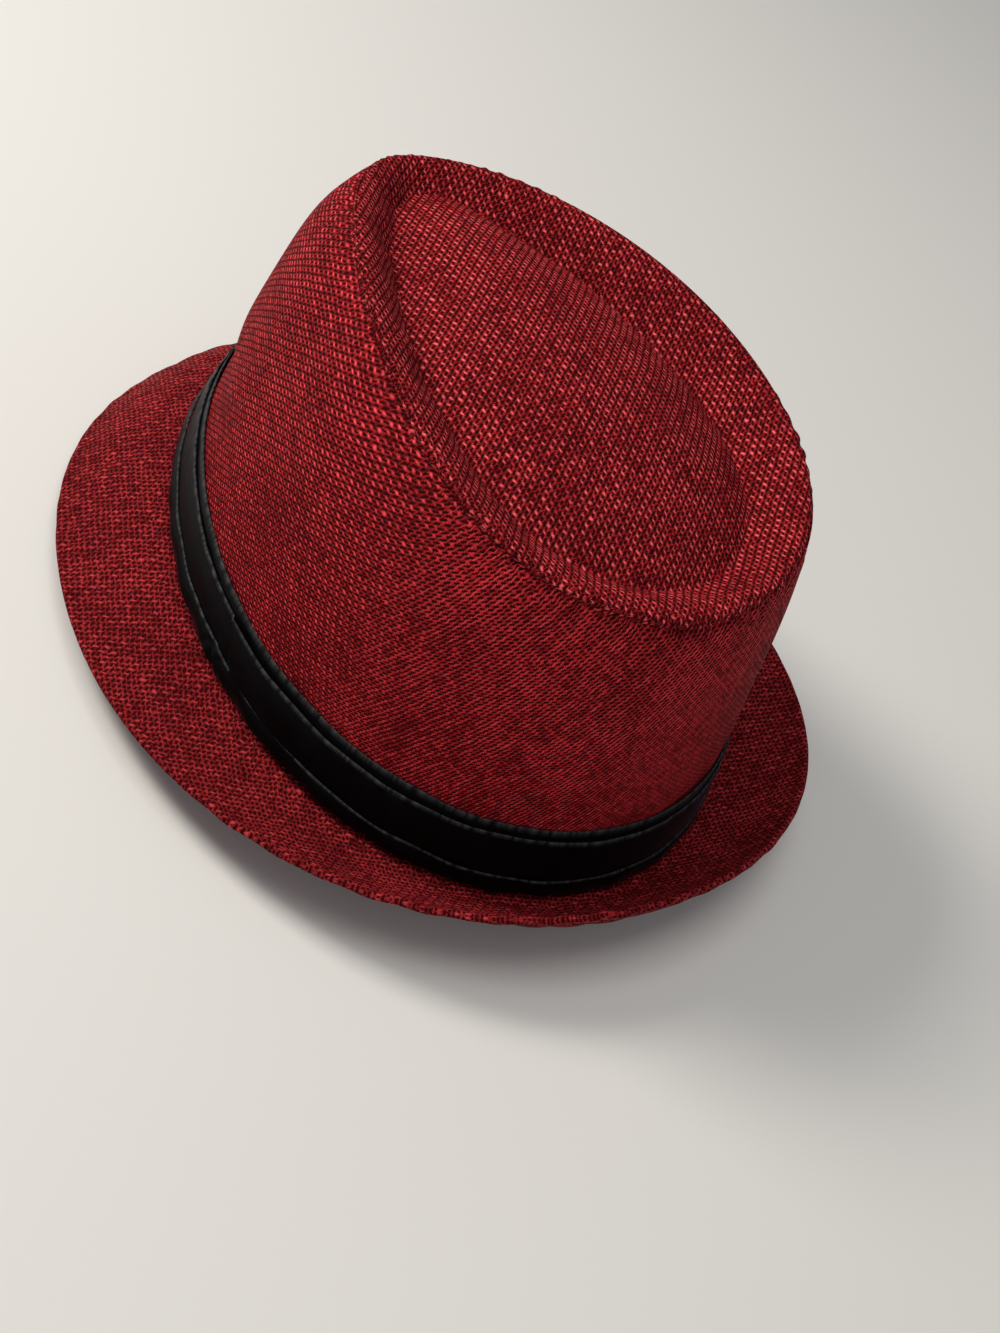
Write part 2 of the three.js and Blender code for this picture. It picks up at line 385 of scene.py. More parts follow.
# Round the crown, how far the upright strands slant from foot to ridge, and how close the level strands lie.
SLIP_AT = np.radians([0, 60, 90, 110, 125, 150, 165, 190, 360])
SLIP_DEGREES = [0, 2, 4, 7, 8.5, 8, 8, 5, 0]
CLOSENESS_AT = np.radians([0, 60, 90, 110, 130, 160, 200, 300, 360])
CLOSENESS = [1.13, 1.13, 1.12, 1.06, 0.97, 0.91, 1.0, 1.1, 1.13]


def side_weave(angle, share):
    """The panel laid flat as a sector: it turns by arc length over the grain radius, straight on grain at
    one angle. Its level threads lie closer near the foot: their pitch grows evenly with the share. The slip
    moves the map sideways by the height times the slant's tangent."""
    swing = (arc_length(angle) - arc_length(math.radians(SIDE_GRAIN_DEGREES))) / SIDE_GRAIN_RADIUS
    pitch = SIDE_PITCH_AT_FOOT + SIDE_PITCH_GAIN * share
    threads = RIDGE_HEIGHT[0] / SIDE_PITCH_GAIN * np.log(pitch / SIDE_PITCH_AT_FOOT)
    closeness = np.interp(angle % TURN, CLOSENESS_AT, CLOSENESS)
    radius = SIDE_GRAIN_RADIUS - threads * SIDE_LEVEL_PITCH * closeness
    flat = np.stack([radius * np.sin(swing), SIDE_GRAIN_RADIUS - radius * np.cos(swing)], axis=-1)
    slip = np.tan(np.radians(np.interp(angle % TURN, SLIP_AT, SLIP_DEGREES)))
    flat[..., 0] -= slip * share * RIDGE_HEIGHT[0]
    loosened = (0.25 + 0.75 * ease((share - 0.9) / 0.09))[..., None]
    return flat + stray(angle, share * 90, 0.14, 14) * loosened


def side_dents(angle, share):
    """Soft unevenness, gathers that grow towards the ridge seam, and a fuller left front. The ribbon holds
    the straw in: what swells out begins above it, and only what sinks in goes on below it."""
    height = share * RIDGE_HEIGHT[0]
    soft = 0.28 * ripples(angle, height, (3, 14), (60, 160), 14, 11)
    gathers = 0.16 * ripples(angle, height, (70, 120), (40, 90), 16, 12) * ease((share - 0.9) / 0.1)
    level = np.exp(-(((share - FULLER_MIDDLE_SHARE) / FULLER_SPREAD_SHARE) ** 2))
    full = FULLER * near(angle, FULLER_DEGREES, FULLER_HALF_SPAN_DEGREES) * level
    free = ease((share - ABOVE_RIBBON_SHARE) / ABOVE_RIBBON_EASING)
    soft = soft * ease(share * 4)
    return np.where(soft > 0, soft * free, soft) + gathers + full * free


def make_side_panel(columns):
    start = math.radians(SIDE_JOIN_DEGREES) - TURN
    angle, turned = columns_of(columns, start)
    foot = (BRIM_THICKNESS / 2 + GAP) / RIDGE_HEIGHT[0]
    half = STRAW / 2
    top = 1 - half / RIDGE_HEIGHT[0]
    outer = foot + (top - foot) * np.linspace(0, 1, 100)
    turn = half_round(5)
    inner = foot + (top - foot) * np.linspace(1, 0, 26)
    share = np.concatenate([outer, top + (1 - top) * np.sin(turn), inner])
    depth = np.concatenate([0 * outer, half * (1 - np.cos(turn)), 0 * inner + STRAW])

    a, s = np.meshgrid(angle, share, indexing="ij")
    dents = side_dents(a, s)
    tuck = TUCK_DEPTH * near(a, TUCK_DEGREES, TUCK_HALF_SPAN_DEGREES) * ease((s - 0.95) / 0.05)
    seam = 0.45 * ease((s - 0.975) / 0.025)
    points = offset(side_surface, a, s, dents - depth - tuck - seam)
    wide, tall = np.meshgrid(turned, share, indexing="ij")
    weave = side_weave(wide, tall)
    weave = np.concatenate([weave, weave[:, :1]], axis=1)
    # Where the strand sets swap their painted highlight and painted shade, and which diagonal gets painted
    # light.
    degrees = np.degrees(wide % TURN)[:-1]
    begun = ease((degrees - LIGHT_SWAP_STARTS_DEGREES) / LIGHT_SWAP_START_EASING_DEGREES)
    painted_light_swap = begun * (1 - ease((degrees - LIGHT_SWAP_ENDS_DEGREES) / LIGHT_SWAP_END_EASING_DEGREES))
    piece = shell_mesh("crown_side_panel", points, weave, closed_section=True, extra={"PaintedLightSwap": painted_light_swap})
    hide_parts("crown_side")
    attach(piece, "root")
    return piece


POLE_SHARE = 1.9995


def tip_dents(angle, share):
    """Soft unevenness, gathers by the seam, small creases down the wall and one sharp crease on the far
    side."""
    soft = 0.3 * ripples(angle, share * 40, (2, 9), (60, 140), 12, 21) * ease((2 - share) * 1.5)
    gathers = 0.16 * ripples(angle, share * 30, (60, 110), (40, 90), 16, 22) * (1 - ease(share * 4))
    on_wall = np.exp(-((share - 0.72) / 0.22) ** 2)
    creases = 0.35 * ripples(angle, share * 10, (16, 34), (30, 80), 10, 23) * on_wall
    line = np.exp(-(((share - FAR_CREASE_SHARE) / FAR_CREASE_SPREAD_SHARE) ** 2))
    sharp = FAR_CREASE_DEPTH * near(angle, FAR_CREASE_DEGREES, FAR_CREASE_HALF_SPAN_DEGREES) * line
    return soft + gathers + creases - sharp


def make_tip_panel(columns):
    angle, turned = columns_of(columns)
    under = np.concatenate([[POLE_SHARE], np.linspace(1.95, 1.05, 14), np.linspace(0.95, 0.16, 14)])
    over = np.concatenate([np.linspace(0, 1, 46) ** 1.1, np.linspace(1.03, 1.97, 34), [POLE_SHARE]])
    turn = half_round(5)
    flange_thickness = 0.7
    flange_outer = STRAW + 0.35
    flange_foot = 0.95

    def at(angles):
        a, s = np.meshgrid(angles, under, indexing="ij")
        below = offset(tip_surface, a, s, -STRAW + 0 * a)
        a, s = np.meshgrid(angles, [0.972, flange_foot], indexing="ij")
        flange_in = offset(side_surface, a, s, -flange_outer - flange_thickness + 0 * a)
        a, s = np.meshgrid(angles, [flange_foot, 0.975], indexing="ij")
        flange_out = offset(side_surface, a, s, -flange_outer + 0 * a)
        a, t = np.meshgrid(angles, turn, indexing="ij")
        lip = ridge(a)
        hang = TIP_HANG * near(a, TUCK_DEGREES, TUCK_HALF_SPAN_DEGREES)
        lip += outward(a) * ((0.25 + hang) * np.sin(t) - 0.5 * (1 - np.sin(t)))[..., None]
        lip[..., 2] += GAP + STRAW * (1 - np.cos(t)) / 2 - hang * (1 - t / math.pi)
        a, s = np.meshgrid(angles, over, indexing="ij")
        above = offset(tip_surface, a, s, tip_dents(a, s))
        groove = 0.5 * (1 - ease(s * 12))
        above[..., 2] -= groove
        hang = TIP_HANG * near(a, TUCK_DEGREES, TUCK_HALF_SPAN_DEGREES) * (1 - ease(s * 3))
        above += outward(a) * hang[..., None]
        return np.concatenate([below, flange_in, flange_out, lip, above], axis=1)

    points = at(angle)
    points[:, 0] = points[:, 0].mean(axis=0)
    points[:, -1] = points[:, -1].mean(axis=0)
    wide = at(turned)
    steps = np.diff(wide, axis=1)
    level_steps = steps[..., :2] / np.maximum(np.linalg.norm(steps[..., :2], axis=-1, keepdims=True), 1e-6)
    laid = level_steps * np.linalg.norm(steps, axis=-1, keepdims=True)
    flat = wide[..., :2].copy()
    flat[:, :-1] = wide[:, -1:, :2] - np.cumsum(laid[:, ::-1], axis=1)[:, ::-1]
    seam_row = len(under) + 4 + len(turn)
    seam_share = np.concatenate([np.ones(seam_row), 1 - ease(over / 0.5)])
    rows = flat[..., 0] * 0 + np.arange(flat.shape[1])
    weave = flat + stray(turned[:, None], rows, 0.18, 24) * seam_share[None, :, None]
    piece = shell_mesh("crown_tip_panel", points, weave, closed_section=False, capped=("first", "last"))
    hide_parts("crown_tip")
    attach(piece, "root")
    return piece


def brim_dents(angle, share):
    """Long soft waves that grow towards the edge, and a soft crease near the crown at the back."""
    width = share * BRIM_WIDTH
    soft = 0.45 * ripples(angle, width, (3, 9), (60, 120), 10, 31) * ease(share * 1.2) * (1 - 0.5 * share)
    small = 0.1 * ripples(angle, width, (30, 70), (20, 60), 14, 32) * ease(share * 5)
    pucker = 0.2 * ripples(angle, width, (60, 110), (8, 20), 16, 33) * np.exp(-(width / 7) ** 2)
    crease = -0.5 * near(angle, 172, 62) * np.exp(-((width - 6.5) / 2.2) ** 2)
    return soft * ease(share * 3) * ease((1.06 - share) * 8) + small + pucker * ease(share * 12) + crease


BRIM_GRAIN_DEGREES = -22


def make_brim(columns):
    angle, turned = columns_of(columns)
    half = BRIM_THICKNESS / 2
    hem_half = HEM_THICKNESS / 2
    hem_start = 1 - HEM_WIDTH / BRIM_WIDTH
    under = np.linspace(0.02, 1 - hem_half / BRIM_WIDTH, 40)
    turn = half_round(9)
    over = np.linspace(1 - hem_half / BRIM_WIDTH, 0, 46)
    collar_outer = -STRAW - GAP
    collar_inner = collar_outer - COLLAR_THICKNESS

    def thickness(share):
        """Half the brim's thickness: the hem swells, with a stitched groove where it starts."""
        swell = (hem_half - half) * ease((share - hem_start) / 0.03)
        groove = 0.22 * np.exp(-((share - hem_start) * BRIM_WIDTH / 0.45) ** 2)
        return half + swell - groove

    def at(angles):
        a, s = np.meshgrid(angles, under, indexing="ij")
        below = offset(brim_surface, a, s, thickness(s) - brim_dents(a, s))
        a, t = np.meshgrid(angles, turn, indexing="ij")
        edge_share = 1 - hem_half / BRIM_WIDTH * (1 - np.sin(t))
        plies = 0.22 * np.exp(-((t - math.pi / 2) / 0.22) ** 2)
        edge_out = hem_half * np.cos(t) - brim_dents(a, edge_share)
        edge = offset(brim_surface, a, edge_share - plies / BRIM_WIDTH, edge_out)
        a, s = np.meshgrid(angles, over, indexing="ij")
        above = offset(brim_surface, a, s, -thickness(s) - brim_dents(a, s))
        a, h = np.meshgrid(angles, np.linspace(half, COLLAR_HEIGHT, 5), indexing="ij")
        collar_up = wall(a, h, collar_outer + 0 * a)
        a, h = np.meshgrid(angles, np.linspace(COLLAR_HEIGHT, 0, 8), indexing="ij")
        collar_down = wall(a, h, collar_inner + 0 * a)
        collar_down[:, -1, 2] -= half
        return np.concatenate([below, edge, above, collar_up, collar_down], axis=1)

    points = at(angle)
    edge = 0 * turn + under[-1]
    laid_share = np.concatenate([under, edge, over, np.linspace(0, -0.3, 5), np.linspace(-0.3, 0, 8)])
    round_the_edge = hem_half * np.minimum(turn, math.pi - turn)
    bulge = np.concatenate([0 * under, round_the_edge, 0 * over, np.zeros(13)])
    width = laid_share * BRIM_WIDTH + bulge
    width = np.append(width, width[0])
    a, w = np.meshgrid(turned, width, indexing="ij")
    plan = (opening(a) + outward(a) * w[..., None])[..., :2]
    grain = math.radians(BRIM_GRAIN_DEGREES)
    laid = np.stack([
        plan[..., 0] * math.cos(grain) + plan[..., 1] * math.sin(grain),
        plan[..., 1] * math.cos(grain) - plan[..., 0] * math.sin(grain),
    ], axis=-1)
    weave = laid + stray(a, w, 0.12, 34) + stray(a, w, 0.2, 38) * np.exp(-((w / 10) ** 2))[..., None]
    piece = shell_mesh("brim_plies", points, weave, closed_section=True)
    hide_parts("brim")
    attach(piece, "root")
    return piece


# ---------------------------------------------------------------- ribbon

def ribbon_strip(name, columns, foot, top, inner, thickness, bulge, waves, raised=None):
    """A strip that runs round the crown: its outer face from foot to top, a round fold, its inner face, a
    round foot. foot and top are functions of the angle, inner the distance of its back from the wall, bulge
    how far the middle of its face stands out, and waves(angle, share) its unevenness. raised(angle, share)
    lifts it off what it lies on. The Fold field is 1 along the upper fold, where the satin's painted
    highlight runs."""
    angle, turned = columns_of(columns)
    face = np.linspace(0, 1, 26)
    turn = half_round(4)
    back = np.linspace(1, 0, 4)
    share = np.concatenate([face, 0 * turn + 1, back, 0 * turn])
    rise = np.concatenate([0 * face, np.sin(turn), 0 * back, -np.sin(turn)])
    depth = np.concatenate([0 * face, (1 - np.cos(turn)) / 2, 0 * back + 1, (1 + np.cos(turn)) / 2])

    def at(angles):
        a, s = np.meshgrid(angles, share, indexing="ij")
        low, high = foot(a), top(a)
        height = low + (high - low) * s + rise * thickness / 2
        swell = bulge * 4 * s * (1 - s) * (1 - depth)
        lift = 0 if raised is None else raised(a, s)
        distance = inner + lift + thickness * (1 - depth) + swell + waves(a, s) * (1 - depth)
        return wall(a, height, distance), height

    points, _ = at(angle)
    _, height = at(turned)
    along = np.broadcast_to(arc_length(turned)[:, None], height.shape)
    weave = np.stack([along, height], axis=-1)
    weave = np.concatenate([weave, weave[:, :1]], axis=1)
    # Where the satin's painted highlight runs: along the upper fold of the outer face.
    fold = np.exp(-(((share - 0.985) / 0.022) ** 2)) * (depth < 0.8) + 0 * height[:-1]
    return shell_mesh(name, points, weave, closed_section=True, extra={"Fold": fold})


def finish_ribbon(piece, node):
    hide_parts(node)
    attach(piece, "root")


def band_top(angle):
    """The ribbon's upper edge, a little uneven and a step higher past the join in the backing."""
    step = 0.5 * near(angle, 205, 32)
    return series(BACKING_TOP, angle) + 0.12 * ripples(angle, 0, (4, 22), (50, 60), 9, 41) + step


def main_top(angle):
    return series(BACKING_TOP, angle) - TOP_STRIP + 0.12 * ripples(angle, 0, (5, 30), (50, 60), 9, 42)


def lower_top(angle):
    knot = 0.7 * near(angle, 92, 5)
    return LOWER_PLEAT_TOP + 0.16 * ripples(angle, 0, (5, 30), (50, 60), 9, 43) + knot


def make_ribbon(columns):
    def backing_waves(a, s):
        foot = 0.22 * ripples(a, s * 22, (45, 90), (20, 50), 12, 44) * (1 - ease(s * 6))
        return foot + 0.06 * ripples(a, s * 22, (8, 30), (20, 60), 10, 45)

    def lower_waves(a, s):
        lumps = 0.22 * ripples(a, s * 5, (18, 50), (10, 30), 12, 46)
        knot = 0.8 * near(a, 92.5, 4) * ripples(a, s * 5, (90, 160), (3, 8), 8, 47)
        return lumps * (0.35 + 0.65 * (1 - s)) + knot * 0.6

    def main_waves(a, s):
        drape = 0.13 * ripples(a, s * 11, (6, 24), (20, 60), 12, 48)
        edge = 0.09 * ripples(a, s * 11, (40, 90), (10, 30), 12, 49) * ease((s - 0.8) * 5)
        return drape + edge

    backing = ribbon_strip(
        "ribbon_backing", columns, lambda a: BACKING_FOOT + 0 * a, band_top, GAP, 0.6, 0.15, backing_waves
    )
    finish_ribbon(backing, "band_backing")

    def lap(a, s):
        """The strip's slanting start lies on its end: one ribbon thickness higher, easing off behind the
        lap."""
        past = (a - math.radians(LAP_START_DEGREES) + LAP_SLANT * (s - 0.5)) % TURN
        return 0.85 * (1 - ease((past - 0.05) / 0.5))

    main = ribbon_strip(
        "ribbon_main_pleat", columns, lambda a: MAIN_PLEAT_FOOT + 0 * a, main_top, 1.2, 0.6, 0.35, main_waves,
        raised=lap,
    )
    finish_ribbon(main, "band_main_pleat")
    lower = ribbon_strip(
        "ribbon_lower_pleat", columns, lambda a: LOWER_PLEAT_FOOT + 0 * a, lower_top, 1.95, 0.6, 0.45,
        lower_waves,
    )
    finish_ribbon(lower, "band_lower_pleat")
    return [backing, main, lower]


# ---------------------------------------------------------------- finishes

class Nodes:
    """A short way to add math nodes to a material."""

    def __init__(self, name):
        self.material = bpy.data.materials.new(name)
        self.material.use_nodes = True
        self.tree = self.material.node_tree
        self.tree.nodes.clear()

    def add(self, kind, **values):
        node = self.tree.nodes.new(kind)
        for key, value in values.items():
            setattr(node, key, value)
        return node

    def put(self, socket, value):
        if isinstance(value, bpy.types.NodeSocket):
            self.tree.links.new(value, socket)
        else:
            socket.default_value = value

    def math(self, operation, *values):
        node = self.add("ShaderNodeMath", operation=operation)
        for socket, value in zip(node.inputs, values):
            self.put(socket, value)
        return node.outputs[0]

    def mix(self, share, first, second):
        node = self.add("ShaderNodeMix", data_type="RGBA")
        self.put(node.inputs["Factor"], share)
        self.put(node.inputs["A"], first)
        self.put(node.inputs["B"], second)
        return node.outputs["Result"]

    def span(self, value, low, high, out_low=0.0, out_high=1.0, smooth=True):
        node = self.add("ShaderNodeMapRange", interpolation_type="SMOOTHSTEP" if smooth else "LINEAR")
        ends = (("From Min", low), ("From Max", high), ("To Min", out_low), ("To Max", out_high))
        for name, number in ends:
            node.inputs[name].default_value = number
        self.put(node.inputs["Value"], value)
        return node.outputs["Result"]

    def point(self, x, y, z=0.0):
        node = self.add("ShaderNodeCombineXYZ")
        for socket, value in zip(node.inputs, (x, y, z)):
            self.put(socket, value)
        return node.outputs[0]

    def noise(self, vector, scale, detail=2.0, roughness=0.5):
        node = self.add("ShaderNodeTexNoise")
        self.put(node.inputs["Vector"], vector)
        node.inputs["Scale"].default_value = scale
        node.inputs["Detail"].default_value = detail
        node.inputs["Roughness"].default_value = roughness
        return node.outputs["Fac"]

    def cloth_place(self):
        """The piece's own map, in millimetres of cloth: across and up."""
        split = self.add("ShaderNodeSeparateXYZ")
        self.put(split.inputs[0], self.add("ShaderNodeUVMap", uv_map="Weave").outputs[0])
        return split.outputs[0], split.outputs[1]


def straw_material(name, upright_pitch, level_pitch, wander, seed, looks):
    """Plain weave: upright and level strands, each with its own streaks of bright, deep and blackened red.
    A strand's height is a cosine along it, up where it lies on top, times a rounded profile across it.
    Between the strands it is nearly black: painted shade in the gaps. Each strand is lighter towards its
    crest, a painted highlight, and darker where it dips, painted shade. One set is a lit copy, the other a
    shaded copy, and in the swap band of the side the two sets trade these looks. A cosine along the diagonal
    of the weave paints diagonal light and shade, which deepens every other line of crossings: the falling
    diagonal outside the swap band, the rising one inside it."""
    n = Nodes(name)
    across, up = n.cloth_place()
    place = n.point(across, up, seed)

    def centred(field, size):
        return n.math("MULTIPLY", n.math("SUBTRACT", field, 0.5), size)

    drift = centred(n.noise(place, 0.09, 2), wander)
    drift_up = centred(n.noise(n.point(up, across, seed + 5), 0.09, 2), wander)
    jitter = centred(n.noise(place, 0.45, 1), looks["jitter"])
    jitter_up = centred(n.noise(n.point(up, across, seed + 7), 0.45, 1), looks["jitter"])
    a = n.math("ADD", n.math("ADD", n.math("DIVIDE", across, upright_pitch), drift), jitter)
    b = n.math("ADD", n.math("ADD", n.math("DIVIDE", up, level_pitch), drift_up), jitter_up)
    strand_a = n.math("FLOOR", a)
    strand_b = n.math("FLOOR", b)
    off_a = n.math("SUBTRACT", n.math("SUBTRACT", a, strand_a), 0.5)
    off_b = n.math("SUBTRACT", n.math("SUBTRACT", b, strand_b), 0.5)
    odd = n.math("FLOORED_MODULO", n.math("ADD", strand_a, strand_b), 2.0)
    on_top = n.math("SUBTRACT", 1.0, n.math("MULTIPLY", odd, 2.0))

    def crest(off, sign):
        wave = n.math("MULTIPLY", n.math("COSINE", n.math("MULTIPLY", off, math.pi)), sign)
        return n.math("ADD", 0.5, n.math("MULTIPLY", wave, 0.5))

    def profile(off, along, width):
        skewed = n.math("ADD", off, n.math("MULTIPLY", along, looks["skew"]))
        edge = n.math("ABSOLUTE", n.math("DIVIDE", n.math("MULTIPLY", skewed, 2.0), width))
        return n.math("MAXIMUM", n.math("SUBTRACT", 1.0, n.math("POWER", edge, 2.2)), 0.0)

    def streaks(strand, along, shift, length):
        at = n.point(n.math("MULTIPLY", strand, 0.83), n.math("DIVIDE", along, length), shift)
        return n.noise(at, 1.0, 4, 0.7)

    def uneven(width, strand, along, shift):
        thick = n.span(streaks(strand, along, shift, 6.0), 0.3, 0.7, 0.62, 1.34, smooth=False)
        return n.math("MULTIPLY", thick, width)

    upright_crest = crest(off_b, on_top)
    level_crest = crest(off_a, n.math("MULTIPLY", on_top, -1.0))
    upright_round = profile(off_a, off_b, uneven(looks["upright_width"], strand_a, up, seed + 3.1))
    level_round = profile(off_b, off_a, uneven(looks["level_width"], strand_b, across, seed + 6.1))
    painted_light_swap = n.add("ShaderNodeAttribute", attribute_type="GEOMETRY", attribute_name="PaintedLightSwap").outputs["Fac"]
    # In the swap band the upright strands' crests rise and fall less, part of the swap of painted light.
    swing = n.span(painted_light_swap, 0.0, 1.0, 0.7, 0.42, smooth=False)
    upright_rise = n.math("ADD", n.math("MULTIPLY", n.math("SUBTRACT", upright_crest, 1.0), swing), 1.0)
    upright = n.math("MULTIPLY", upright_rise, upright_round)
    level = n.math("MULTIPLY", n.math("ADD", n.math("MULTIPLY", level_crest, 0.7), 0.3), level_round)
    height = n.math("MAXIMUM", upright, level)
    shows_upright = n.math("GREATER_THAN", upright, level)

    patch = n.noise(place, 0.05, 3, 0.6)
    crossing = n.point(n.math("MULTIPLY", strand_a, 0.61), n.math("MULTIPLY", strand_b, 0.61), seed)
    cell = n.noise(crossing, 1.0, 0)

    def strand_colour(streak, raised, looks_of_strand):
        mottled = n.math("ADD", n.math("MULTIPLY", streak, 0.50), n.math("MULTIPLY", patch, 0.2))
        mottled = n.math("ADD", mottled, n.math("MULTIPLY", cell, 0.30))
        shade = n.span(mottled, 0.39, 0.60)
        shown, other = looks_of_strand
        low = n.mix(shade, looks["dark"], n.mix(painted_light_swap, shown["low"], other["low"]))
        high = n.mix(painted_light_swap, shown["high"], other["high"])
        high = n.mix(shade, n.mix(painted_light_swap, shown["dull"], other["dull"]), high)
        # Painted highlight towards the strand's crest and painted shade where it dips under the other set.
        return n.mix(n.math("POWER", raised, looks["crest_power"]), low, high)

    upright_streaks = streaks(strand_a, up, seed + 1.5, 7.0)
    upright_colour = strand_colour(upright_streaks, upright, (looks["upright"], looks["level"]))
    level_streaks = streaks(strand_b, across, seed + 9.5, 9.0)
    level_colour = strand_colour(level_streaks, level, (looks["level"], looks["upright"]))
    strand = n.mix(shows_upright, level_colour, upright_colour)
    # Painted diagonal light and shade: every other diagonal line of crossings is darker; which diagonal
    # depends on the swap band.
    level_shines = 1.0 if looks["upright"]["high"][0] <= looks["level"]["high"][0] else -1.0
    falling = n.math("COSINE", n.math("MULTIPLY", n.math("SUBTRACT", a, b), math.pi))
    rising = n.math("COSINE", n.math("MULTIPLY", n.math("ADD", a, b), math.pi))
    fall_share = n.math("MULTIPLY", n.math("MULTIPLY", falling, n.math("SUBTRACT", 1.0, painted_light_swap)), -level_shines)
    rise_share = n.math("MULTIPLY", n.math("MULTIPLY", rising, painted_light_swap), level_shines)
    painted_diagonal_light = n.math("ADD", fall_share, rise_share)
    # Painted shade in the gaps: where the strands are low, the near-black under colour shows.
    shown = n.span(height, looks["gap"][0], looks["gap"][1])
    painted_diagonal_share = n.math("MULTIPLY", n.math("SUBTRACT", 1.0, n.math("MULTIPLY", painted_light_swap, 0.55)), looks["painted_diagonal_light"])
    painted_diagonal_shade = n.math("ADD", 0.96, n.math("MULTIPLY", n.math("SUBTRACT", painted_diagonal_light, 1.0), painted_diagonal_share))
    shown = n.math("MULTIPLY", shown, painted_diagonal_shade)
    colour = n.mix(shown, looks["under"], strand)

    fibres = n.noise(n.point(n.math("MULTIPLY", a, 5.0), n.math("MULTIPLY", b, 5.0), seed), 1.0, 2)
    relief = n.math("ADD", height, n.math("MULTIPLY", fibres, 0.1))
    bump = n.add("ShaderNodeBump")
    bump.inputs["Strength"].default_value = 1.0
    bump.inputs["Distance"].default_value = looks["relief"] * MM
    n.put(bump.inputs["Height"], relief)
    shader = n.add("ShaderNodeBsdfPrincipled")
    n.put(shader.inputs["Base Color"], colour)
    gloss = n.math("MULTIPLY", n.span(height, 0.3, 0.9), n.span(fibres, 0.2, 0.8, 0.6, 1.0))
    n.put(shader.inputs["Roughness"], n.math("SUBTRACT", 0.95, n.math("MULTIPLY", gloss, 0.58)))
    shader.inputs["Specular IOR Level"].default_value = 0.05
    n.put(shader.inputs["Normal"], bump.outputs[0])
    output = n.add("ShaderNodeOutputMaterial")
    n.put(output.inputs["Surface"], shader.outputs[0])
    return n.material


# The strand set that catches the light: a lit copy, with a painted highlight in its high colour.
PAINTED_LIT_STRAND = {
    "low": (0.26, 0.003, 0.007, 1),
    "high": (1.0, 0.085, 0.095, 1),
    "dull": (0.42, 0.016, 0.022, 1),
}
# The strand set that the light misses: a shaded copy of the same straw, painted shade.
PAINTED_SHADED_STRAND = {
    "low": (0.17, 0.002, 0.005, 1),
    "high": (0.66, 0.022, 0.030, 1),
    "dull": (0.24, 0.006, 0.010, 1),
}
STRAW_LOOKS = {
    "upright_width": 0.54,
    "level_width": 0.58,
    "upright": PAINTED_SHADED_STRAND,
    "level": PAINTED_LIT_STRAND,
    "dark": (0.05, 0.003, 0.005, 1),
    # Painted shade: the near-black seen between the strands.
    "under": (0.026, 0.0008, 0.0014, 1),
    "gap": (0.0, 0.26),
    "relief": 0.34,
    "skew": 0.22,
    "jitter": 0.56,
    "crest_power": 1.15,
    # How strong the painted diagonal light and shade is.
    "painted_diagonal_light": 0.34,
}
# On the tip the upright set is the lit copy, with a pinker painted highlight.
TIP_STRAND = {**PAINTED_LIT_STRAND, "high": (1.0, 0.14, 0.145, 1)}
# The brim's upright strands, with a painted highlight in their high colour.
BRIM_STRAND = {
    "low": (0.22, 0.003, 0.006, 1),
    "high": (0.84, 0.060, 0.068, 1),
    "dull": (0.32, 0.010, 0.015, 1),
}
TIP_LOOKS = {**STRAW_LOOKS, "upright": TIP_STRAND, "level": PAINTED_SHADED_STRAND}


def dimmed(looks, share):
    """The same strands in a deeper red."""
    changed = dict(looks)
    for name in ("upright", "level"):
        changed[name] = {k: (v[0] * share, v[1] * share, v[2] * share, 1) for k, v in looks[name].items()}
    return changed


# The brim's under colour is its painted shade between the strands, with weaker painted diagonal light.
BRIM_STRAW = {**STRAW_LOOKS, "upright": BRIM_STRAND, "painted_diagonal_light": 0.16, "under": (0.030, 0.0012, 0.0020, 1)}
BRIM_LOOKS = dimmed(BRIM_STRAW, 0.54)


